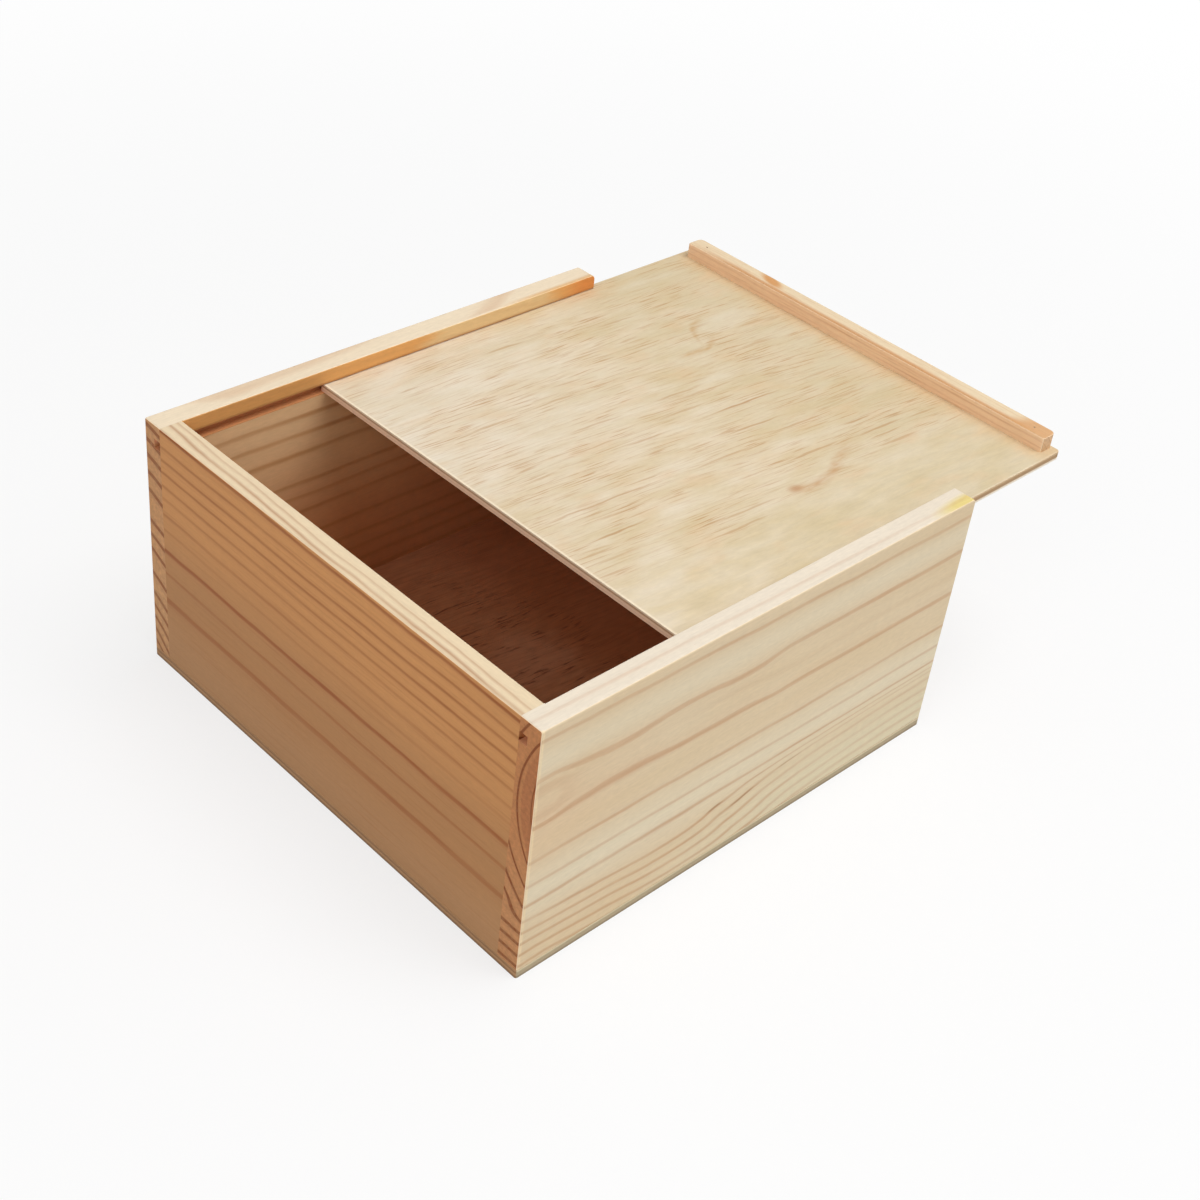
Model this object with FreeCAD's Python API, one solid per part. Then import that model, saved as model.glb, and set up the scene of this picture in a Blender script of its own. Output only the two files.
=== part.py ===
import FreeCAD, Part
import os

# Square pine box with a sliding plywood lid. The lid runs in a groove cut in the inner faces of the two
# side walls and of the back wall, and leaves over the low front wall. Everything is glued, and the thin
# bottom and the pull strip are pinned as well.
#
# Millimetres. The origin is the centre of the underside, +Z is up and the lid slides out towards +X.
# The back wall is at -X, the front wall at +X, the right side wall at -Y and the left one at +Y.

# ---- the carcass -------------------------------------------------------------------------------------
box_length = 200.0          # outside, along the slide
box_width = 199.0           # outside, across the slide
box_height = 101.5          # floor to rim
wall_thickness = 9.0        # planed pine board
bottom_thickness = 3.5      # three-ply panel glued under the walls

# ---- the groove and the lid --------------------------------------------------------------------------
lip_height = 5.6            # wood left above the groove
groove_depth = 3.5          # how far the groove goes into a wall
lid_thickness = 3.2         # three-ply panel
lid_lift = 0.4              # free height above the lid in its groove
lid_side_play = 0.5         # free width at each side edge of the lid
lid_end_play = 0.5          # gap left in the back wall's groove when the lid is home
lid_setback = 2.0           # how far the lid stops short of the front face when it is home
lid_open = 62.0             # how far the lid stands open

# ---- the pull strip on the lid -----------------------------------------------------------------------
strip_width = 7.5           # along the slide
strip_height = 6.0
strip_side_play = 0.5       # gap between each end of the strip and the side wall it passes
strip_inset = 0.2           # from the lid's outer edge

# ---- edges eased with sandpaper ----------------------------------------------------------------------
outer_arris = 0.8           # long outer edges and outer corners of the walls
inner_arris = 0.5           # inner edges of the rim
joint_arris = 0.2           # edges of a wall that meet the bottom panel
lid_arris = 0.2             # top edges of the lid
lid_corner = 1.6            # upright corners of the lid
end_round = 2.0             # top corners of the side walls at the front
strip_arris = 0.6           # top edges of the pull strip, at most half of its upright corners' radius
strip_inner_corner = 0.9    # upright corners of the pull strip that face the box
strip_outer_corner = 2.2    # upright corners of the pull strip that face away from it

# ---- pins --------------------------------------------------------------------------------------------
pin_sink = 0.2              # how far each pin's head lies below the surface
tip_share = 0.4             # a pin narrows to this share of its diameter, over one diameter's length
bottom_pin_diameter = 1.2
bottom_pin_bite = 11.0      # length inside the wall
bottom_pin_margin = 26.0    # from a box corner to the first pin of a side wall
end_pin_margin = 48.0       # from a box corner to the pins of an end wall
strip_pin_diameter = 0.8
strip_pin_margin = 7.0      # from the strip's end to the pin
strip_pin_cover = 1.0       # wood left under the point of a strip pin

# ---- what follows from the sizes above ---------------------------------------------------------------
half_length = box_length / 2
half_width = box_width / 2
inner_half_length = half_length - wall_thickness
inner_half_width = half_width - wall_thickness
groove_top = box_height - lip_height
groove_floor = groove_top - lid_lift - lid_thickness
lid_top = groove_floor + lid_thickness
lid_home_start = -inner_half_length - groove_depth + lid_end_play
lid_length = half_length - lid_setback - lid_home_start
lid_width = 2 * (inner_half_width + groove_depth - lid_side_play)
lid_start = lid_home_start + lid_open
lid_end = lid_start + lid_length
strip_length = 2 * (inner_half_width - strip_side_play)
strip_end = lid_end - strip_inset
strip_start = strip_end - strip_width

UP = FreeCAD.Vector(0, 0, 1)
SAME_PLACE = 1e-4           # two coordinates closer than this are the same


def block(low, high):
    """A square-edged block between two opposite corners."""
    size = FreeCAD.Vector(*high) - FreeCAD.Vector(*low)
    return Part.makeBox(size.x, size.y, size.z, FreeCAD.Vector(*low))


def edges_on(shape, planes):
    """The edges of a shape that lie wholly in the given planes, such as x at 0 and z at 5."""
    found = []
    for edge in shape.Edges:
        box = edge.BoundBox
        spans = {"x": (box.XMin, box.XMax), "y": (box.YMin, box.YMax), "z": (box.ZMin, box.ZMax)}
        gaps = [abs(end - place) for axis, place in planes.items() for end in spans[axis]]
        if max(gaps) < SAME_PLACE:
            found.append(edge)
    return found


def eased(shape, radius, *places):
    """The shape with edges rounded to one radius. Each place is the planes that its edges lie in."""
    edges = [edge for planes in places for edge in edges_on(shape, planes)]
    return shape.makeFillet(radius, edges)


def corner_places(xs, ys):
    """Where the upright edges are at each x and each y."""
    return [{"x": x, "y": y} for x in xs for y in ys]


def grooved_wall(low, high, groove_low, groove_high):
    """A full-height wall with the lid's groove cut from its inner face."""
    return block(low, high).cut(block(groove_low, groove_high))


def square_where_butted(wall, inner):
    """The rim's inner edge is eased once the box is glued, so it stays square against the back wall."""
    corner = block((-half_length, inner - inner_arris, box_height - inner_arris),
                   (-inner_half_length, inner, box_height))
    return wall.fuse(corner).removeSplitter()


def right_side_wall():
    """The -Y side wall: it runs the full length, and so does its groove."""
    outer = -half_width
    inner = -inner_half_width
    wall = grooved_wall(
        (-half_length, outer, bottom_thickness), (half_length, inner, box_height),
        (-half_length, inner - groove_depth, groove_floor), (half_length, inner, groove_top))
    wall = eased(wall, min(end_round, lip_height / 2), {"x": half_length, "z": box_height})
    wall = eased(wall, inner_arris, {"y": inner, "z": box_height})
    wall = square_where_butted(wall, inner)
    wall = eased(wall, outer_arris, {"y": outer, "z": box_height}, {"x": -half_length, "z": box_height},
                 {"x": -half_length, "y": outer}, {"x": half_length, "y": outer})
    wall = eased(wall, joint_arris, {"y": outer, "z": bottom_thickness})
    return wall.cut(pin_holes(bottom_pin, side_wall_pin_places(outer + wall_thickness / 2)))


def left_side_wall():
    """The +Y side wall, the right one's mirror image."""
    return right_side_wall().mirror(FreeCAD.Vector(0, 0, 0), FreeCAD.Vector(0, 1, 0))


def back_wall():
    """The closed end: as high as the side walls, butted between them and grooved for the lid's edge."""
    outer = -half_length
    inner = -inner_half_length
    wall = grooved_wall(
        (outer, -inner_half_width, bottom_thickness), (inner, inner_half_width, box_height),
        (inner - groove_depth, -inner_half_width, groove_floor), (inner, inner_half_width, groove_top))
    wall = eased(wall, outer_arris, {"x": outer, "z": box_height})
    wall = eased(wall, inner_arris, {"x": inner, "z": box_height})
    wall = eased(wall, joint_arris, {"x": outer, "z": bottom_thickness})
    return wall.cut(pin_holes(bottom_pin, end_wall_pin_places(outer + wall_thickness / 2)))


def front_wall():
    """The entry end: cut down level with the floor of the groove, so that the lid slides out over it."""
    outer = half_length
    inner = inner_half_length
    wall = block((inner, -inner_half_width, bottom_thickness), (outer, inner_half_width, groove_floor))
    wall = eased(wall, outer_arris, {"x": outer, "z": groove_floor})
    wall = eased(wall, inner_arris, {"x": inner, "z": groove_floor})
    wall = eased(wall, joint_arris, {"x": outer, "z": bottom_thickness})
    return wall.cut(pin_holes(bottom_pin, end_wall_pin_places(outer - wall_thickness / 2)))


def bottom_panel():
    """The floor of the box, flush with the outer faces of the walls."""
    panel = block((-half_length, -half_width, 0), (half_length, half_width, bottom_thickness))
    corners = corner_places((-half_length, half_length), (-half_width, half_width))
    panel = eased(panel, outer_arris, *corners)
    return panel.cut(pin_holes(bottom_pin, bottom_pin_places()))


def lid_panel():
    """The lid: a plain panel whose side and leading edges run in the grooves."""
    half_lid = lid_width / 2
    panel = block((lid_start, -half_lid, groove_floor), (lid_end, half_lid, lid_top))
    panel = eased(panel, lid_corner, *corner_places((lid_start, lid_end), (-half_lid, half_lid)))
    panel = eased(panel, lid_arris, {"z": lid_top})
    return panel.cut(pin_holes(strip_pin, strip_pin_places()))


def pull_strip():
    """The batten glued across the lid's outer end, which a finger pulls."""
    half_strip = strip_length / 2
    strip_top = lid_top + strip_height
    strip = block((strip_start, -half_strip, lid_top), (strip_end, half_strip, strip_top))
    strip = eased(strip, strip_inner_corner, *corner_places([strip_start], (-half_strip, half_strip)))
    strip = eased(strip, strip_outer_corner, *corner_places([strip_end], (-half_strip, half_strip)))
    strip = eased(strip, min(strip_arris, strip_inner_corner / 2, strip_outer_corner / 2), {"z": strip_top})
    return strip.cut(pin_holes(strip_pin, strip_pin_places()))


def pin(head, direction, length, diameter):
    """A headless steel pin that narrows towards its point over its last diameter."""
    radius = diameter / 2
    shank = length - diameter
    body = Part.makeCylinder(radius, shank, head, direction)
    point = Part.makeCone(radius, radius * tip_share, diameter, head + direction * shank, direction)
    return body.fuse(point)


def bottom_pin(x, y, sink):
    """A pin that stands point up, from just above the underside into a wall."""
    head = FreeCAD.Vector(x, y, sink)
    return pin(head, UP, bottom_thickness + bottom_pin_bite - sink, bottom_pin_diameter)


def strip_pin(x, y, sink):
    """A pin that stands point down, from the top of the pull strip into the lid."""
    head = FreeCAD.Vector(x, y, lid_top + strip_height - sink)
    return pin(head, -UP, head.z - groove_floor - strip_pin_cover, strip_pin_diameter)


def group(make_pin, places):
    """One kind of pin at each place, its head sunk below the surface."""
    return Part.makeCompound([make_pin(x, y, pin_sink) for x, y in places])


def pin_holes(make_pin, places):
    """The holes that the pins leave, open from the surface down."""
    return Part.makeCompound([make_pin(x, y, 0) for x, y in places])


def side_wall_pin_places(y):
    """Three places along a side wall."""
    reach = half_length - bottom_pin_margin
    return [(x, y) for x in (-reach, 0, reach)]


def end_wall_pin_places(x):
    """Two places along an end wall."""
    reach = half_width - end_pin_margin
    return [(x, y) for y in (-reach, reach)]


def bottom_pin_places():
    """Every place where a pin goes up through the bottom panel, on the centre lines of the walls."""
    to_side = half_width - wall_thickness / 2
    to_end = half_length - wall_thickness / 2
    sides = side_wall_pin_places(-to_side) + side_wall_pin_places(to_side)
    return sides + end_wall_pin_places(-to_end) + end_wall_pin_places(to_end)


def strip_pin_places():
    """One place near each end of the pull strip, on its centre line."""
    middle = (strip_start + strip_end) / 2
    reach = strip_length / 2 - strip_pin_margin
    return [(middle, -reach), (middle, reach)]


nodes = {
    "side_wall_right": right_side_wall(),
    "side_wall_left": left_side_wall(),
    "back_wall": back_wall(),
    "front_wall": front_wall(),
    "bottom_panel": bottom_panel(),
    "bottom_pins": group(bottom_pin, bottom_pin_places()),
    "lid_panel": lid_panel(),
    "pull_strip": pull_strip(),
    "strip_pins": group(strip_pin, strip_pin_places()),
}

os.makedirs("parts", exist_ok=True)
for name, shape in nodes.items():
    shape.exportStep("parts/" + name + ".step")
    size = shape.optimalBoundingBox()
    print(name, "solids:", len(shape.Solids), "valid:", shape.isValid(), "volume:", round(shape.Volume, 1),
          "size:", round(size.XLength, 2), round(size.YLength, 2), round(size.ZLength, 2))
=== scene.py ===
import math
from collections import namedtuple

import bmesh
import bpy
from mathutils import Matrix, Vector


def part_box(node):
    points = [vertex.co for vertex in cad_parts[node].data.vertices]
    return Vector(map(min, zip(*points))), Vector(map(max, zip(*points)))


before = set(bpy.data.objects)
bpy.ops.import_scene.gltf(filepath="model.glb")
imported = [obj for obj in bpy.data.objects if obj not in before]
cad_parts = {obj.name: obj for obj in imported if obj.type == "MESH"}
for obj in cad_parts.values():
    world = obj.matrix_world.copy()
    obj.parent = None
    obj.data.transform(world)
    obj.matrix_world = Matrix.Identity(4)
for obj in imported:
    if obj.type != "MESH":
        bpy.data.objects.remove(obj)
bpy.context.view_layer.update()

# Every pattern is worked out in millimetres, in the frame that the box is built in: x the way the lid
# slides, y across the box and z up, from the centre of the underside.
MM = 0.001


# ---- signals: numbers worked out at each point of a surface ------------------------------------------

class Signal:
    """A number or colour that differs over a surface. Numbers add and multiply as plain ones do."""

    def __init__(self, recipe, socket):
        self.recipe = recipe
        self.socket = socket

    def math(self, operation, *others):
        return self.recipe.math(operation, self, *others)

    def __add__(self, other):
        return self.math("ADD", other)

    def __sub__(self, other):
        return self.math("SUBTRACT", other)

    def __rsub__(self, other):
        return self.recipe.math("SUBTRACT", other, self)

    def __mul__(self, other):
        return self.math("MULTIPLY", other)

    def __truediv__(self, other):
        return self.math("DIVIDE", other)

    def __abs__(self):
        return self.math("ABSOLUTE")

    def most(self, other):
        return self.math("MAXIMUM", other)

    def ramp(self, start, end):
        """0 up to the start and 1 past the end, with a smooth rise between. The start may be the larger."""
        inputs = {"Value": self, "From Min": start, "From Max": end}
        return self.recipe.signal("ShaderNodeMapRange", inputs, interpolation_type="SMOOTHSTEP")

    def hill(self, centre, reach):
        """1 at the centre, falling smoothly to 0 at the reach on both sides."""
        return abs(self - centre).ramp(reach, 0)

    def curve(self, *points):
        """Follows a smooth line through points of (input, output), and stays level outside them."""
        first, last = points[0][0], points[-1][0]
        low = min(out for _, out in points)
        span = max(out for _, out in points) - low or 1.0
        node = self.recipe.node("ShaderNodeFloatCurve", {"Value": (self - first) / (last - first)})
        line = node.mapping.curves[0]
        for _ in points[2:]:
            line.points.new(0.5, 0.5)
        for spot, (at, out) in zip(line.points, points):
            spot.location = ((at - first) / (last - first), (out - low) / span)
            spot.handle_type = "AUTO_CLAMPED"
        node.mapping.extend = "HORIZONTAL"
        node.mapping.update()
        return Signal(self.recipe, node.outputs["Value"]) * span + low


def oval(along, up, half_length, half_height):
    """How far a point lies from an oval's middle, as a share of the oval: 1 on its outline."""
    one, other = along / half_length, up / half_height
    return (one * one + other * other).math("SQRT")


def add_node(tree, kind, inputs=None, **settings):
    """A new node, with its settings and with each input linked to a signal or a socket, or set to a value."""
    node = tree.nodes.new(kind)
    for name, value in settings.items():
        setattr(node, name, value)
    for name, value in (inputs or {}).items():
        if isinstance(value, Signal):
            value = value.socket
        if isinstance(value, bpy.types.NodeSocket):
            tree.links.new(value, node.inputs[name])
        else:
            node.inputs[name].default_value = value
    return node


def empty_tree(holder):
    """The node tree of a new material or world, with nothing in it."""
    holder.use_nodes = True
    holder.node_tree.nodes.clear()
    return holder.node_tree


class Recipe:
    """One material being put together, node by node."""

    def __init__(self, name):
        self.material = bpy.data.materials.new(name)
        self.tree = empty_tree(self.material)
        place = self.node("ShaderNodeTexCoord").outputs["Object"]
        scaled = self.node("ShaderNodeVectorMath", {0: place, "Scale": 1 / MM}, operation="SCALE")
        axes = self.node("ShaderNodeSeparateXYZ", {0: scaled.outputs["Vector"]})
        self.x, self.y, self.z = (Signal(self, axes.outputs[axis]) for axis in "XYZ")

    def node(self, kind, inputs=None, **settings):
        return add_node(self.tree, kind, inputs, **settings)

    def signal(self, kind, inputs, **settings):
        return Signal(self, self.node(kind, inputs, **settings).outputs[0])

    def math(self, operation, *values):
        return self.signal("ShaderNodeMath", dict(enumerate(values)), operation=operation)

    def noise(self, x, y, z, seed=0, detail=1.0, roughness=0.5):
        """Cloudy values about 0, mostly within 0.5 either way, with lumps about 1 long in x, y and z."""
        spot = self.node("ShaderNodeCombineXYZ", {0: x + seed, 1: y, 2: z})
        inputs = {"Vector": spot.outputs[0], "Scale": 1.0, "Detail": detail, "Roughness": roughness}
        return (self.signal("ShaderNodeTexNoise", inputs) - 0.5) * 2

    def facing(self, axis):
        """1 on faces that look along an axis, 0 on the others."""
        normal = self.node("ShaderNodeTexCoord").outputs["Normal"]
        parts = self.node("ShaderNodeSeparateXYZ", {0: normal})
        return abs(Signal(self, parts.outputs[axis])).ramp(0.55, 0.85)

    def mix(self, share, first, second, blend="MIX"):
        """The second colour over the first, by a share from 0 to 1."""
        inputs = {0: share, 6: first, 7: second}
        node = self.node("ShaderNodeMix", inputs, data_type="RGBA", blend_type=blend, clamp_factor=True)
        return Signal(self, node.outputs[2])

    def brighter(self, colour, amount):
        """A colour made lighter or darker by a signal about 0, where 0.1 is a tenth lighter."""
        scale = self.node("ShaderNodeVectorMath", {0: colour, "Scale": amount + 1}, operation="SCALE")
        return Signal(self, scale.outputs["Vector"])

    def finish(self, colour, roughness, height, metallic=0.0, specular=0.3):
        """Joins the shader and its relief, whose height is in millimetres, and gives the material."""
        bump = self.node("ShaderNodeBump", {"Height": height, "Distance": MM, "Strength": 1.0})
        inputs = {"Base Color": colour, "Roughness": roughness, "Normal": bump.outputs["Normal"],
                  "Metallic": metallic, "Specular IOR Level": specular}
        shader = self.node("ShaderNodeBsdfPrincipled", inputs)
        self.node("ShaderNodeOutputMaterial", {"Surface": shader.outputs["BSDF"]})
        return self.material


def tone(code):
    """A colour written as it looks on a screen, for the shader."""
    levels = [int(code[i:i + 2], 16) / 255 for i in (1, 3, 5)]
    linear = [v / 12.92 if v <= 0.04045 else ((v + 0.055) / 1.055) ** 2.4 for v in levels]
    return (*linear, 1.0)


# ---- where things are, in millimetres ----------------------------------------------------------------

def box_mm(node):
    low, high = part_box(node)
    return low / MM, high / MM


side_low, side_high = box_mm("side_wall_right")
back_low, back_high = box_mm("back_wall")
front_low, _ = box_mm("front_wall")
panel_low, panel_high = box_mm("bottom_panel")
lid_low, lid_high = box_mm("lid_panel")
strip_low, _ = box_mm("pull_strip")

lip_height = 5.6
lip_start = side_high.z - lip_height
groove_floor = lid_low.z
groove_bottom = 5.5         # how far the groove's own bottom lies in from the outer face
box_end = side_high.x
wall_thickness = back_high.x - back_low.x


# ---- pine boards: growth rings about a pith ----------------------------------------------------------

# A point in a board: along the grain, in from the outer face and up from the underside of the box.
Board = namedtuple("Board", "along depth height")

# The heart of the tree that a board was sawn from: how far outside the outer face, and how high.
Pith = namedtuple("Pith", "distance height")

# The dark part of a growth ring: the height where it leaves the outer face, its width there and its strength.
Ring = namedtuple("Ring", "height width strength")

# A board's colours: its early wood in two tones, its late wood, the rim, and both woods on the sawn end.
Tones = namedtuple("Tones", "early warm late rim end end_late")


def outer_face(board):
    """1 on the outer face of a wall, 0 deeper in."""
    return board.depth.ramp(1.0, 0.2)


def inner_face(board):
    """1 on the inner face of a wall, 0 deeper in."""
    return board.depth.ramp(wall_thickness - 1.5, wall_thickness - 0.2)


def ring_rise(board, pith):
    """How far above or below the pith the ring through a point leaves the outer face."""
    across = board.depth + pith.distance
    up = board.height - pith.height
    return (across * across + up * up - pith.distance ** 2).most(0).math("SQRT")


def ring_darkness(rise, pith, rings, spread):
    """The dark lines of the rings. Each has a soft side towards the pith and a sharper one outwards."""
    marks = sorted((abs(ring.height - pith.height), ring.width * spread, ring.strength) for ring in rings)
    places = [place for place, _, _ in marks]
    halfway = [-math.inf] + [(one + next_one) / 2 for one, next_one in zip(places, places[1:])] + [math.inf]
    points = []
    for index, (place, width, strength) in enumerate(marks):
        start = max(place - width * 0.6, halfway[index])
        end = min(place + width * 0.4, halfway[index + 1])
        if not points or start > points[-1][0]:
            points.append((start, 0))
        points += [(place, strength), (end, 0)]
    return rise.curve(*points)


def grain(recipe, along, one, other, seed):
    """Fine fibres along the grain, short flecks, and broader soft streaks."""
    fine = recipe.noise(along / 9, one / 0.22, other / 0.22, seed, detail=2)
    fleck = recipe.noise(along / 3, one / 0.8, other / 0.8, seed + 19, detail=2)
    broad = recipe.noise(along / 45, one / 1.6, other / 1.6, seed + 7, detail=2)
    return fine, fleck, broad


def end_grain(recipe, board, rise, late, shade, tones, seed):
    """The sawn end of a board: open pores, dark arcs of late wood, and redder wood near the pith."""
    along, depth, height = board
    pores = recipe.noise(along / 0.5, depth / 0.35, height / 0.35, seed + 31, detail=3)
    blotch = recipe.noise(along, depth / 1.5, height / 1.5, seed + 37, detail=2)
    arc = late.ramp(0.06, 0.32) * (pores * 0.4 + blotch * 0.9 + 0.95) * (1 - height.ramp(40, 20) * 0.2)
    wood = recipe.mix(height.ramp(70, 20) * 0.25 + 0.05, tones.end, tone("#D2A676"))
    wood = recipe.mix(rise.ramp(22, 20) * 0.4, wood, tone("#9C5630"))
    wood = recipe.mix(shade.ramp(0.0, 0.6) * 0.2, wood, tones.end_late)
    return recipe.brighter(recipe.mix(arc, wood, tones.end_late), pores * 0.14 + blotch * 0.3)


def pine(name, board_of, grain_axis, pith, rings, tones, seed, bend=None, fade=None, tint=None):
    """The material of one pine board. Bend moves its rings, fade weakens them and tint adds colour."""
    recipe = Recipe(name)
    board = board_of(recipe)
    along, depth, height = board
    bent = bend(board) if bend else board
    ripple = recipe.noise(along / 35, depth / 20, height / 16, seed, detail=3) * 0.9
    rise = ring_rise(Board(bent.along, bent.depth, bent.height + ripple), pith)
    late = ring_darkness(rise, pith, rings, 0.8)
    shade = ring_darkness(rise, pith, rings, 2.2)
    uneven = recipe.noise(along / 40, depth / 10, height / 4, seed + 3, detail=2) * 0.8 + 0.95
    line = (late * 1.12 + shade * 0.15) * uneven * (fade(board) if fade else 1)
    fine, fleck, broad = grain(recipe, along, depth, height, seed)
    top = recipe.facing("Z")
    end = recipe.facing(grain_axis)

    cloud = recipe.noise(along / 80, depth / 30, height / 15, seed + 11, detail=2).ramp(-0.4, 0.5)
    wood = recipe.mix(cloud, tones.early, tones.warm)
    wood = recipe.mix(top * 0.9, wood, tones.rim)
    if tint:
        wood = tint(recipe, board, rise, wood, top)
    tick = recipe.noise(along / 3.5, depth / 0.3, height / 0.3, seed + 23).ramp(0.45, 0.7)
    colour = recipe.mix(line * (1 - top * 0.5), wood, tones.late)
    colour = recipe.mix(tick * 0.25, colour, tones.late)
    colour = recipe.brighter(colour, fine * 0.06 + fleck * 0.08 + broad * 0.05)

    colour = recipe.mix(end, colour, end_grain(recipe, board, rise, late, shade, tones, seed))
    # Paler arrises: partly sanded wear, partly a painted highlight where the edges catch the light.
    arris_wear_and_highlight = (end * (1 - end) * 2).most(top * (1 - top)) * 3.4
    colour = recipe.mix(arris_wear_and_highlight * 0.85, colour, tone("#F8DFBC"))
    roughness = fine * 0.06 + line * -0.08 + 0.62
    return recipe.finish(colour, roughness, fine * 0.02 + line * 0.03)


def saw_cut(recipe, board, wood):
    """The groove for the lid is browner than the planed faces; past the back wall's inner face it is paler,
    painted light where the groove opens at the end.
    """
    low = board.height.ramp(groove_floor - 0.25, groove_floor - 0.05)
    high = board.height.ramp(lip_start + 0.25, lip_start + 0.05)
    deep = board.depth.ramp(groove_bottom - 0.9, groove_bottom - 0.3)
    # Past the back wall's inner face the groove is made paler: painted light where it opens at the end.
    groove_tone_with_painted_light = recipe.mix(board.along.ramp(back_high.x + 1, back_high.x - 1), tone("#D08E5C"), tone("#E6A67A"))
    return recipe.mix(low * high * deep, wood, groove_tone_with_painted_light)


def right_side_material():
    """The right side wall: broad figure in its upper half and close, dipping lines below."""
    pith = Pith(35.5, 73.5)
    low_rings = [Ring(height, 2.8, 0.42) for height in (24.9, 19.9, 15.1, 10.1, 5.1, 0.6)]
    rings = [Ring(63.4, 2.8, 0.4), Ring(49.4, 3.0, 0.38), Ring(39.5, 3.0, 0.32), Ring(31.1, 3.0, 0.46)]
    rings += low_rings
    loop = [Ring(67.2, 4.0, 1.0)]

    def board_of(recipe):
        return Board(recipe.x, recipe.y - side_low.y, recipe.z)

    def bend(board):
        along, depth, height = board
        drift = along.curve((-100, 0), (-33, -0.8), (23, -2.0), (100, -2.6)) * height.ramp(22, 50)
        kink = along.curve((-92, -0.5), (-76, -0.6), (-33, -0.6), (-8, -1.2), (12, -0.4), (40, 0))
        pinch = along.curve((-92, 0.18), (-76, 0.66), (-63, 0.78), (-33, 0.44), (-10, 0.62), (10, 0.22),
                            (62, 0.28), (100, 0.2))
        near_pith = height.hill(73, 30)
        later = along + (height - 20) * 0.8
        dip = later.curve((-100, 0), (-66, 2.8), (-38, 4.7), (-10, 1.3), (20, -4.2), (62, -7), (100, -7.6))
        low = height.ramp(31.5, 24)
        level = height.ramp(20, 32)
        return Board(along, depth * level + pinch * near_pith, height - drift - kink * near_pith + dip * low)

    def fade(board):
        return 1 - board.along.ramp(0, 40) * board.height.ramp(30, 26) * 0.5

    def tint(recipe, board, rise, wood, top):
        along, depth, height = board
        outside = outer_face(board)
        pale = height.hill(36, 17).most(height.hill(88, 9) * 0.7) * outside
        wood = recipe.mix(pale * 0.65, wood, tone("#E6DBC0"))
        warm = along.ramp(-40, -100) * height.hill(62, 30) * outside
        wood = recipe.mix(warm * 0.35, wood, tone("#E2BC92"))
        green = height.ramp(32, 10) * along.ramp(-70, 40) * outside
        wood = recipe.mix(green * 0.75, wood, tone("#DFD5B6"))
        wood = recipe.mix(inner_face(board) * (1 - top) * 0.7, wood, tone("#DDB385"))
        # A painted highlight on the upright corner's arris at the back end.
        corner_highlight = along.ramp(side_low.x + 1.6, side_low.x + 0.7) * outside
        wood = recipe.mix(corner_highlight * 0.6, wood, tone("#F4DCB0"))
        loop_line = ring_darkness(rise, pith, loop, 1.0) * along.ramp(-76, -92) * outside
        wood = recipe.mix(loop_line * 0.22, wood, tone("#C08A62"))
        heavy = rise.hill(10, 2.2) * height.ramp(74, 71) * along.hill(-60, 60) * outside
        wood = recipe.mix(heavy * 0.26, wood, tone("#B87A52"))
        middle = (height - along.curve((-40, 74), (-10, 73), (20, 70.5), (62, 71), (90, 70))).hill(0, 2.4)
        wood = recipe.mix(middle * along.ramp(-60, -10) * outside * 0.1, wood, tone("#B98A5E"))
        stroke = ring_darkness(rise, pith, low_rings, 0.5).ramp(0.05, 0.4)
        spots = oval(along + 16, height - 24.2, 7, 2).ramp(1, 0.3)
        spots = spots.most(oval(along + 1, height - 20.6, 11, 2.6).ramp(1, 0.3))
        spots = spots.most(oval(along - 21, height - 24.8, 9, 2).ramp(1, 0.3) * 0.5)
        wood = recipe.mix(stroke * spots * outside * 0.75, wood, tone("#8F7048"))
        stain = oval(along - 97, depth - 1.5, 22, 4.6).ramp(1, 0.25) * top
        wood = recipe.mix(stain * 0.85, wood, tone("#E2CC72"))
        crack = (depth - height.curve((95.5, 5.6), (100.5, 3.8))).hill(0, 0.4) * height.ramp(94.8, 95.6)
        crack = crack * along.ramp(side_low.x + 0.3, side_low.x + 0.1)
        wood = recipe.mix(crack * 0.9, wood, tone("#4A2814"))
        return saw_cut(recipe, board, wood)

    tones = Tones(tone("#DFCAA8"), tone("#DDC6A1"), tone("#C08C60"), tone("#E6DAC8"), tone("#BE7C48"),
                  tone("#84420C"))
    return pine("right_side_pine", board_of, "X", pith, rings, tones, 3.1, bend, fade, tint)


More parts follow.
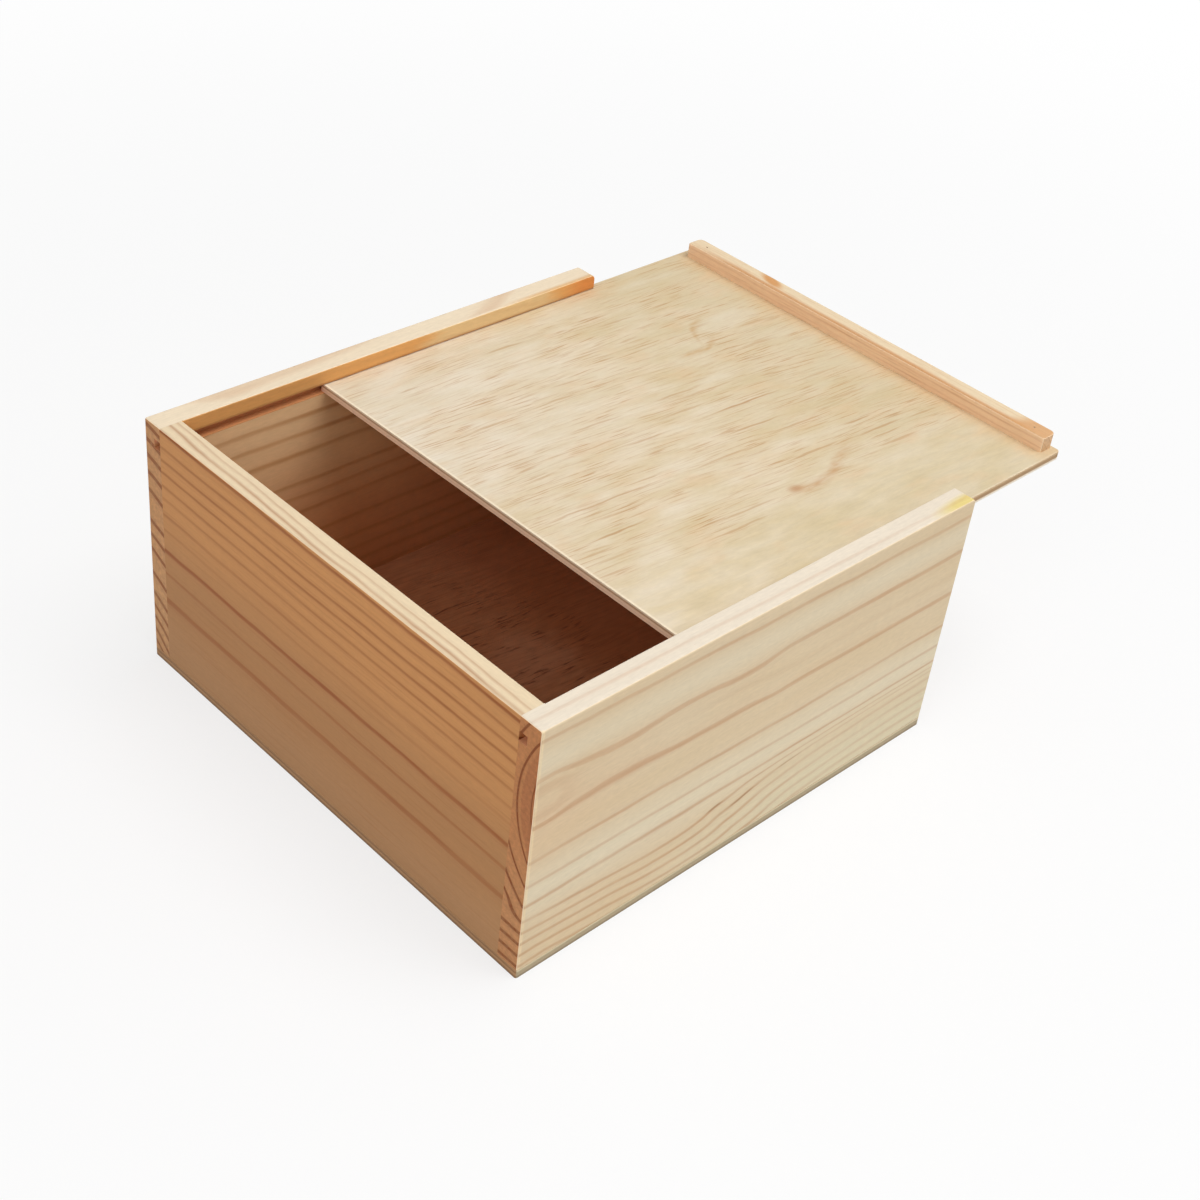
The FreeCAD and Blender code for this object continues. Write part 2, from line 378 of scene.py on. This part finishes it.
def left_side_material():
    """The left side wall: even straight lines inside, and an amber lip."""
    heights = (2, 8, 13, 18.5, 23.8, 29.7, 38.1, 48.5, 54.9, 61.1, 72.8, 79.6, 86, 92, 98, 104, 110)
    rings = [Ring(height, 3.2, 0.5) for height in heights]

    def board_of(recipe):
        return Board(recipe.x, -side_low.y - recipe.y, recipe.z)

    def bend(board):
        along, depth, height = board
        slant = along.curve((-100, 2.0), (-62, 4.0), (100, -6.0)) * height.ramp(60, 100)
        return Board(along, depth, height - slant)

    def tint(recipe, board, rise, wood, top):
        along, depth, height = board
        inside = inner_face(board) * (1 - top)
        # The inner face darkens to orange towards the bottom: painted shade inside the box.
        inner_tone_shaded_low = recipe.mix(height.ramp(80, 15), tone("#EAC08E"), tone("#DDA674"))
        wood = recipe.mix(inside * 0.75, wood, inner_tone_shaded_low)
        # Redder and darker low down, away from the back wall: painted shade under the lid, with warm bounced
        # colour.
        heart_and_painted_shade = height.ramp(85, 25) * along.ramp(-90, -35) * inside
        wood = recipe.mix(heart_and_painted_shade * 0.6, wood, tone("#CA8054"))
        resin = recipe.noise((along + height * 4) / 22, depth / 6, height / 4, 47.0, detail=3) * 0.6
        resin = (along.ramp(30, 0).most(along.ramp(66, 90)) + resin).ramp(0.1, 0.85)
        lip = height.ramp(lip_start - 0.5, lip_start) * inside
        wood = recipe.mix(lip * 0.75, wood, tone("#E6C48C"))
        wood = recipe.mix(lip * resin * 0.75, wood, tone("#E49E50"))
        wood = recipe.mix(lip * along.ramp(80, 96) * 0.6, wood, tone("#E07C30"))
        # A painted shadow along the foot of the lip, where it meets the lid.
        lip_foot_shadow = height.ramp(lip_start + 1.1, lip_start + 0.2) * lip
        wood = recipe.mix(lip_foot_shadow * 0.5, wood, tone("#9A6A38"))
        edge = depth.ramp(6.6, 8.4) * along.ramp(45, 75) * top
        wood = recipe.mix(edge * 0.7, wood, tone("#D9A45C"))
        return saw_cut(recipe, board, wood)

    def fade(board):
        return 1 - board.height.ramp(lip_start - 1, lip_start) * inner_face(board) * 0.8

    tones = Tones(tone("#EBD1AC"), tone("#E8C89E"), tone("#BC8350"), tone("#E9D8BD"), tone("#C6905E"),
                  tone("#925426"))
    return pine("left_side_pine", board_of, "X", Pith(25, -25), rings, tones, 17.7, bend, fade, tint)


def back_material():
    """The back wall: redder wood, with straight lines that open out towards the bottom."""
    rings = [Ring(29.0, 4.0, 0.5), Ring(40.7, 2.8, 0.42), Ring(50.7, 3.6, 0.8), Ring(59.4, 2.6, 0.2),
             Ring(65.7, 2.6, 0.38), Ring(72.3, 2.4, 0.36), Ring(77.5, 2.4, 0.44), Ring(83.2, 2.4, 0.54),
             Ring(88.2, 2.4, 0.54), Ring(93.2, 2.4, 0.45), Ring(99.4, 2.8, 0.72), Ring(102.0, 1.2, 0.85),
             Ring(103.7, 1.0, 0.55)]

    def board_of(recipe):
        return Board(recipe.y, recipe.x - back_low.x, recipe.z)

    def bend(board):
        along, depth, height = board
        return Board(along, depth, height - along.curve((-90, 0), (30, 0.8), (90, 1.6)))

    def tint(recipe, board, rise, wood, top):
        side = 1 - top
        # Darker towards the bottom: partly the board's own colour, partly painted shade.
        wood = recipe.mix(board.height.ramp(84, 36) * side * 0.9, wood, tone("#B28050"))
        wood = recipe.mix(board.height.ramp(34, 6) * side * 0.8, wood, tone("#BA8C60"))
        streak = recipe.noise(board.along / 40, board.depth / 2, board.height / 1.1, 83.0, detail=3)
        wood = recipe.mix(streak.ramp(0.0, 0.6) * side * 0.3, wood, tone("#A0602C"))
        wood = recipe.mix(inner_face(board) * side * 0.6, wood, tone("#E0B688"))
        return saw_cut(recipe, board, wood)

    tones = Tones(tone("#D29458"), tone("#CE9156"), tone("#9A5218"), tone("#E5D3B2"), tone("#BC7C4A"),
                  tone("#82441A"))
    return pine("back_pine", board_of, "Y", Pith(60, -12), rings, tones, 5.3, bend, None, tint)


def front_material():
    """The front wall: plain above with a few pin knots, strongly striped below."""
    rings = [Ring(height, 2.8, 0.6) for height in (2, 6, 10, 14, 18, 22.5)]
    rings += [Ring(27.0, 3.2, 0.85), Ring(36.0, 2.6, 0.6), Ring(52.0, 4.0, 0.12), Ring(70.0, 4.0, 0.1),
              Ring(86.0, 4.0, 0.15)]
    knots = [(10.5, 91), (21, 74.5), (39, 84.6), (49.5, 66.7), (67, 77), (87, 85.5), (92, 54.6), (99, 71),
             (120, 79.5), (131.5, 63.3), (152, 74.5), (168.7, 84.7)]

    def board_of(recipe):
        return Board(recipe.y, box_end - recipe.x, recipe.z)

    def tint(recipe, board, rise, wood, top):
        along, _, height = board
        for at, up in knots:
            knot = oval(along - (front_low.y + at), height - up, 1.3, 1.0).ramp(1, 0.3)
            wood = recipe.mix(knot * 0.6, wood, tone("#9A6238"))
        streak = height.hill(39, 3.0) * along.ramp(-20, -90)
        wood = recipe.mix(streak * 0.6, wood, tone("#C4762E"))
        return recipe.mix(inner_face(board) * (1 - top) * 0.5, wood, tone("#E3B888"))

    tones = Tones(tone("#E5C497"), tone("#E2BE8E"), tone("#B06C38"), tone("#E8D8BC"), tone("#B67D54"),
                  tone("#6E3A1E"))
    return pine("front_pine", board_of, "Y", Pith(-4.5, -60), rings, tones, 23.9, tint=tint)


def strip_material():
    """The pull strip: orange sides and a pale top with a dark seam near its inner edge."""
    rings = [Ring(94.0, 1.6, 0.2), Ring(97.3, 1.6, 0.14), Ring(99.8, 1.6, 0.18), Ring(103.5, 1.6, 0.2)]

    def board_of(recipe):
        return Board(recipe.y, recipe.x - strip_low.x, recipe.z)

    def tint(recipe, board, rise, wood, top):
        along, depth, height = board
        sway = recipe.noise(along / 40, 0, 0, 3.0, detail=2) * 0.9
        seam = (depth + sway).ramp(2.9, 0.6) * along.ramp(95, 60) * along.ramp(-90, -70)
        wood = recipe.mix(seam * top * 0.85, wood, tone("#C48850"))
        patch = oval(along - 43 - depth, depth - 5, 7.5, 4).ramp(1, 0.35)
        patch = patch.most((along + depth * 0.6).ramp(-70, -78) * 0.75)
        wood = recipe.mix(patch * top * 0.95, wood, tone("#D09458"))
        olive = recipe.noise(along / 30, depth / 4, 0, 13.0, detail=2).ramp(0.0, 0.5)
        wood = recipe.mix(olive * along.ramp(30, 60) * top * 0.5, wood, tone("#D8BE86"))
        dirt = recipe.noise(along / 12, depth / 3, height / 3, 29.0, detail=2).ramp(0.1, 0.6)
        wood = recipe.mix(dirt * 0.12, wood, tone("#B08868"))
        streak = recipe.noise(along / 22, depth / 0.9, height / 0.8, 53.0, detail=2).ramp(0.0, 0.5)
        return recipe.mix(streak * 0.3, wood, tone("#C48850"))

    tones = Tones(tone("#FFDBB4"), tone("#FDD2AA"), tone("#CB8C5C"), tone("#E2CEAC"), tone("#DCB48A"),
                  tone("#B48862"))
    return pine("strip_pine", board_of, "Y", Pith(40, 60), rings, tones, 41.3, tint=tint)


# ---- three-ply panels --------------------------------------------------------------------------------

# The colours of a panel's edge: the upper veneer, the glue lines, the core and the lower veneer.
Plies = namedtuple("Plies", "upper glue core lower")


def ply_layers(recipe, low, high, plies):
    """A panel's edge from the top down: a veneer, a glue line, the core, a glue line and a veneer."""
    veneer = (high - low) * 0.28
    below = high - recipe.z
    colour = recipe.mix(below.ramp(veneer * 0.9, veneer * 1.1), plies.upper, plies.core)
    colour = recipe.mix((recipe.z - low).ramp(veneer * 1.1, veneer * 0.9), colour, plies.lower)
    glue = below.hill(veneer * 1.1, veneer * 0.7).most((recipe.z - low).hill(veneer, veneer * 0.3) * 0.3)
    return recipe.mix(glue * 0.8, colour, plies.glue)


def ply_edge(recipe, low, high, side_plies, end_plies, seed):
    """The colour of a panel's sawn edges, which differ along and across its face grain."""
    along = ply_layers(recipe, low, high, side_plies)
    across = ply_layers(recipe, low, high, end_plies)
    speckle = recipe.noise(recipe.x / 1.5, recipe.y / 1.5, recipe.z / 0.3, seed, detail=2)
    return recipe.brighter(recipe.mix(recipe.facing("X"), along, across), speckle * 0.16)


def veneer_marks(recipe, across, seed):
    """What a peeled veneer shows with its grain along x: fine fibres, tan strands and short dark dashes."""
    fine = recipe.noise(recipe.x / 8, across / 0.5, recipe.z / 0.5, seed, detail=2)
    strand = recipe.noise(recipe.x / 24, across / 1.4, 0, seed + 5, detail=2).ramp(-0.2, 0.5)
    dash = recipe.noise(recipe.x / 15, across / 0.6, 0, seed + 13, detail=2).ramp(0.05, 0.32)
    return fine, strand, dash


# The lid's longest dashes: where the middle of each lies along and across, its length and its strength.
long_dashes = [
    (-9, 71, 12, 0.6), (39, 75, 24, 0.6), (89, 66, 24, 0.5), (60, 53.6, 23, 0.55), (42, 43, 16, 0.5),
    (32, 36, 18, 0.55), (0, 36.5, 27, 0.45), (134, 36, 18, 0.5), (123, 24, 21, 0.5), (31, 16.2, 29, 0.55),
    (70, 14.6, 30, 0.6), (78, 10.7, 43, 0.5), (20, 5.8, 27, 0.55), (63, 5, 32, 0.5), (39, -0.9, 22, 0.6),
    (87, -3.8, 40, 1.0), (126, -5.5, 37, 0.45), (78, -16.7, 31, 0.8), (0, -20.7, 60, 0.75),
    (125, -21.5, 29, 0.45), (53, -25.2, 38, 0.55), (92, -24.8, 29, 0.65), (0, -28.3, 26, 0.5),
    (-9, -36, 29, 0.9), (113, -36, 17, 0.85), (83, -40.7, 32, 0.7), (-23, -40.5, 18, 0.6),
    (116, -44.2, 28, 0.8), (-18, -45.7, 26, 0.45), (138, -46.6, 20, 0.6), (115, -48, 20, 0.75),
    (-24, -51.8, 17, 0.6), (36, -52.4, 33, 0.55), (117, -53.6, 21, 0.6), (26, -58, 34, 0.65)]
dash_lean = 0.065           # how far a dash drifts to -y for each step along x
dash_half_width = 0.65


def with_long_dashes(recipe, dash):
    """The lid's short dashes with its longest ones among them."""
    x, y = recipe.x, recipe.y
    level = y + x * dash_lean + recipe.noise(x / 12, y / 3, 0, 97.0, detail=2) * 0.9
    for at, over, length, strength in long_dashes:
        reach = oval(x - at, level - (over + at * dash_lean), length * 0.55, dash_half_width)
        dash = dash.most(reach.ramp(1, 0.35) * strength)
    return dash


def with_lid_marks(recipe, colour):
    """The lid's few large marks: a pale lens inside a tan bow, and a tan swoop from a brown spot."""
    x, y = recipe.x, recipe.y
    uneven = recipe.noise(x / 12, y / 8, 0, 91.0, detail=2)
    ragged = recipe.noise(x / 7, y / 1.6, 0, 93.0, detail=3) + 0.6
    lens = oval(x - 126, y - 42.5, 20, 6.5) + uneven * 0.5
    colour = recipe.mix(lens.ramp(1.1, 0.5) * 0.3, colour, tone("#E4DAC6"))
    bow = (y + uneven * 2 - x.curve((104, 35), (108, 42.5), (112, 47), (120, 51.5))).hill(0, 3.4)
    tail = (y + uneven * 2 - x.curve((88, 32), (103, 32), (108, 34), (113, 37))).hill(0, 2.6)
    bow = (bow * x.ramp(103, 108) * x.ramp(124, 112)).most(tail * x.ramp(86, 96) * x.ramp(116, 106))
    colour = recipe.mix(bow * ragged * 0.7, colour, tone("#C0955F"))
    sweep = x.curve((60, -54), (68, -55.5), (76, -54.5), (85, -50.5), (98, -44.5))
    swoop = (y + uneven * 2 - sweep).hill(0, 4.0) * x.ramp(56, 64) * x.ramp(106, 84)
    colour = recipe.mix(swoop * ragged * 0.75, colour, tone("#C09264"))
    spot = oval(x - 59.5, y + 53.3, 4.6, 3.4).ramp(1, 0)
    return recipe.mix(spot * 0.5, colour, tone("#AE7040"))


def lid_material():
    """The lid's veneer: cream and tan clouds, strands and dashes, and a calm band along the right edge."""
    recipe = Recipe("lid_veneer")
    x, y = recipe.x, recipe.y
    slant = y.curve((-93, 0.03), (-30, 0.085), (20, 0.07), (60, 0.02))
    across = y + x * slant + recipe.noise(x / 60, y / 25, 0, 9.0) * 1.6
    fine, strand, dash = veneer_marks(recipe, across, 2.0)
    calm = (y + recipe.noise(x / 18, y / 10, 0, 33.0, detail=2) * 6).ramp(-52, -66)
    lively = 1 - calm * 0.7
    crowd = recipe.noise(x / 26, y / 11, 0, 31.0, detail=2).ramp(-0.3, 0.4) * (1 - calm)
    dash = with_long_dashes(recipe, dash * (crowd * 0.72 + 0.22) * lively)
    broad = recipe.noise(x / 70, y / 35, 0, 51.0, detail=2)
    patchy = recipe.noise(x / 22, across / 8, 0, 61.0, detail=3)
    cloud = (broad * 0.6 + patchy).ramp(-0.7, 0.7)
    peach = recipe.noise(x / 22, across / 12, 0, 71.0, detail=3).ramp(0.05, 0.5)
    fleck = recipe.noise(x / 2, across / 0.9, 0, 79.0, detail=2)
    mottle = recipe.noise(x / 9, across / 2.4, 0, 35.0, detail=3) * calm

    colour = recipe.mix(cloud, tone("#E2D4BC"), tone("#D2BF99"))
    tan = x.ramp(50, 145).most(y.ramp(-45, -75) * x.ramp(-30, 80))
    colour = recipe.mix(tan * 0.45, colour, tone("#CCBC97"))
    pale = x.ramp(80, -20) * y.ramp(-30, 30)
    colour = recipe.mix(pale * 0.42, colour, tone("#E8DECF"))
    colour = recipe.mix(peach * 0.35, colour, tone("#DCBA92"))
    colour = recipe.mix(crowd * 0.22, colour, tone("#DAB98E"))
    colour = recipe.mix(strand * lively * (crowd * 0.2 + 0.2), colour, tone("#C9B28C"))
    colour = recipe.mix(dash * 0.7, colour, tone("#B28252"))
    colour = with_lid_marks(recipe, colour)

    # A painted highlight along the top veneer's leading and near edges.
    lid_edge_highlight = (x - lid_low.x).ramp(1.3, 0.2).most((y - lid_low.y).ramp(1.0, 0.2) * 0.4)
    colour = recipe.mix(lid_edge_highlight * 0.8, colour, tone("#F4E4CA"))
    # Warmer beside the strip: painted shade with colour reflected from the strip.
    strip_warm_shade = x.ramp(strip_low.x - 9, strip_low.x)
    colour = recipe.mix(strip_warm_shade * 0.3, colour, tone("#D8AE7C"))

    side_plies = Plies(tone("#CDB08A"), tone("#B28E66"), tone("#AE8C66"), tone("#F0E4D0"))
    # The leading edge's plies are near white, paler than the wood: painted light standing in for the bright
    # light on that edge.
    end_plies = Plies(tone("#FBEBD0"), tone("#B4865A"), tone("#FFE2C6"), tone("#FFDFC4"))
    edge = ply_edge(recipe, lid_low.z, lid_high.z, side_plies, end_plies, 4.0)
    colour = recipe.brighter(colour, fine * 0.04 + fleck * 0.05 + mottle * 0.11)
    colour = recipe.mix(recipe.facing("Z"), edge, colour)
    return recipe.finish(colour, fine * 0.06 + 0.64, fine * 0.02 + dash * -0.02)


def bottom_material():
    """The bottom's veneer: reddish heartwood with dark dashes, and a paler corner beyond a wavy border."""
    recipe = Recipe("bottom_veneer")
    x, y = recipe.x, recipe.y
    across = y + x * 0.07 + recipe.noise(x / 60, y / 30, 0, 8.0, detail=2) * 4
    fine, strand, dash = veneer_marks(recipe, across, 3.0)
    border = y.curve((-90, 5), (-72, 5), (-52, 2), (-41, -46), (-33, -47), (-20, -80), (-8, -55), (8, -48),
                     (24, -30), (40, -20), (60, -14), (88, -9))
    inside = x - border + recipe.noise(x / 20, y / 10, 0, 19.0, detail=3) * 8
    heart_and_painted_shade = inside.ramp(-6, 4)
    fleck = recipe.noise(x / 8, across / 1.1, 0, 25.0, detail=2).ramp(0.03, 0.34)
    crowd = recipe.noise(x / 20, y / 10, 0, 37.0, detail=2).ramp(-0.2, 0.2)
    crowd = crowd * oval(x - 5, y - 20, 45, 70).ramp(1, 0.5)
    painted_light_patch = oval(x - 5, y - 12, 22, 20) + recipe.noise(x / 14, y / 8, 0, 43.0, detail=3) * 0.6

    red = recipe.mix(recipe.noise(x / 50, y / 35, 0, 57.0).ramp(-0.4, 0.4), tone("#C88660"), tone("#C07E56"))
    red = recipe.mix(x.ramp(34, 4), red, tone("#D69A72"))
    colour = recipe.mix(heart_and_painted_shade, tone("#D9B384"), red)
    colour = recipe.mix(strand * 0.3, colour, tone("#A45E34"))
    # A paler patch in the heartwood: painted light.
    colour = recipe.mix(painted_light_patch.ramp(1.1, 0.3) * heart_and_painted_shade * 0.45, colour, tone("#E4AC8A"))
    mottle = recipe.noise(x / 7, across / 3, 0, 67.0, detail=3)
    colour = recipe.brighter(colour, mottle * 0.16)
    colour = recipe.mix((fleck * crowd).most(dash * (crowd * 0.3 + 0.15)) * 0.66, colour, tone("#6A301E"))
    # The lower veneers are darker and greyer than the upper ones: painted shadow along the bottom edge.
    side_plies = Plies(tone("#D8C9A8"), tone("#B0A080"), tone("#B2A082"), tone("#96876C"))
    end_plies = Plies(tone("#B0865C"), tone("#8A6240"), tone("#B88E64"), tone("#94704E"))
    edge = ply_edge(recipe, panel_low.z, panel_high.z, side_plies, end_plies, 8.0)
    colour = recipe.mix(recipe.facing("Z"), edge, recipe.brighter(colour, fine * 0.06))
    return recipe.finish(colour, fine * 0.06 + 0.62, fine * 0.02 + dash * -0.02)


def steel_material():
    recipe = Recipe("pin_wire")
    scratches = recipe.noise(recipe.x / 0.3, recipe.y / 0.3, recipe.z / 0.3, 1.0, detail=3)
    colour = recipe.mix(scratches + 0.5, tone("#7C7874"), tone("#A5A19C"))
    return recipe.finish(colour, scratches * 0.1 + 0.4, scratches * 0.01, metallic=1.0, specular=0.5)


def dress(node, material):
    """Gives a node its material in every slot."""
    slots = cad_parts[node].data.materials
    if not len(slots):
        slots.append(material)
    for index in range(len(slots)):
        slots[index] = material


dress("side_wall_right", right_side_material())
dress("side_wall_left", left_side_material())
dress("back_wall", back_material())
dress("front_wall", front_material())
dress("bottom_panel", bottom_material())
dress("lid_panel", lid_material())
dress("pull_strip", strip_material())
steel = steel_material()
dress("bottom_pins", steel)
dress("strip_pins", steel)


# ---- the studio --------------------------------------------------------------------------------------

floor_size = 8.0
paper = (0.86, 0.86, 0.86, 1.0)
clean_start, clean_end = 0.2, 0.9       # how far from the box the floor begins and ends to turn pure white
clean_near_box = 0.72                   # how much of that white lies over the floor by the box
studio_light = 0.42
lamp_aim = (0, 0, 0.05)
camera_place = Vector((-0.3883, -0.3759, 0.4489))
camera_aim = Vector((0.020, -0.006, 0.036))
camera_tilt = math.radians(-7.2)
camera_lens = 57.0

WHITE = (1.0, 1.0, 1.0, 1.0)


def seen_directly(tree):
    """1 for what the camera sees, also in a mirror or through glass, and 0 for what only lights."""
    path = add_node(tree, "ShaderNodeLightPath")
    share = path.outputs["Is Camera Ray"]
    for name in ("Is Glossy Ray", "Is Transmission Ray"):
        most = add_node(tree, "ShaderNodeMath", {0: share, 1: path.outputs[name]}, operation="MAXIMUM")
        share = most.outputs[0]
    return share


def floor_material():
    """White paper: it takes the shadow, and its lit part is as white as the background."""
    material = bpy.data.materials.new("floor_paper")
    tree = empty_tree(material)
    place = add_node(tree, "ShaderNodeTexCoord").outputs["Object"]
    distance = add_node(tree, "ShaderNodeVectorMath", {0: place}, operation="LENGTH").outputs["Value"]
    inputs = {"Value": distance, "From Min": clean_start, "From Max": clean_end, "To Min": clean_near_box}
    clean = add_node(tree, "ShaderNodeMapRange", inputs, interpolation_type="SMOOTHSTEP").outputs["Result"]
    share = add_node(tree, "ShaderNodeMath", {0: seen_directly(tree), 1: clean}, operation="MULTIPLY")
    shaded = add_node(tree, "ShaderNodeBsdfDiffuse", {"Color": paper})
    white = add_node(tree, "ShaderNodeEmission", {"Color": WHITE, "Strength": 1.0})
    both = {0: share.outputs[0], 1: shaded.outputs[0], 2: white.outputs[0]}
    mix = add_node(tree, "ShaderNodeMixShader", both)
    add_node(tree, "ShaderNodeOutputMaterial", {"Surface": mix.outputs[0]})
    return material


def make_floor():
    sheet = bmesh.new()
    bmesh.ops.create_grid(sheet, x_segments=1, y_segments=1, size=floor_size / 2)
    mesh = bpy.data.meshes.new("floor")
    sheet.to_mesh(mesh)
    sheet.free()
    floor = bpy.data.objects.new("floor", mesh)
    bpy.context.scene.collection.objects.link(floor)
    mesh.materials.append(floor_material())


def make_world():
    world = bpy.data.worlds.new("studio")
    tree = empty_tree(world)
    around = add_node(tree, "ShaderNodeBackground", {"Color": WHITE, "Strength": studio_light})
    behind = add_node(tree, "ShaderNodeBackground", {"Color": WHITE, "Strength": 1.0})
    both = {0: seen_directly(tree), 1: around.outputs[0], 2: behind.outputs[0]}
    mix = add_node(tree, "ShaderNodeMixShader", both)
    add_node(tree, "ShaderNodeOutputWorld", {"Surface": mix.outputs[0]})
    bpy.context.scene.world = world


def make_lamp(name, place, size, watts):
    """A round soft lamp, aimed at the box."""
    data = bpy.data.lights.new(name, "AREA")
    data.shape = "DISK"
    data.size = size
    data.energy = watts
    lamp = bpy.data.objects.new(name, data)
    lamp.location = place
    lamp.rotation_euler = (Vector(lamp_aim) - Vector(place)).to_track_quat("-Z", "Y").to_euler()
    bpy.context.scene.collection.objects.link(lamp)


def make_camera():
    data = bpy.data.cameras.new("camera")
    data.lens = camera_lens
    camera = bpy.data.objects.new("camera", data)
    look = (camera_aim - camera_place).to_track_quat("-Z", "Y").to_matrix().to_4x4()
    camera.matrix_world = Matrix.Translation(camera_place) @ look @ Matrix.Rotation(-camera_tilt, 4, "Z")
    bpy.context.scene.collection.objects.link(camera)
    bpy.context.scene.camera = camera


make_floor()
make_world()
make_lamp("overhead", (0.25, -0.45, 1.9), size=1.4, watts=20.0)
make_lamp("front", (0.9, -1.3, 1.6), size=1.2, watts=6.0)
make_lamp("fill", (-1.2, -0.6, 1.1), size=1.0, watts=4.5)
make_camera()

bpy.context.scene.view_settings.view_transform = "Standard"
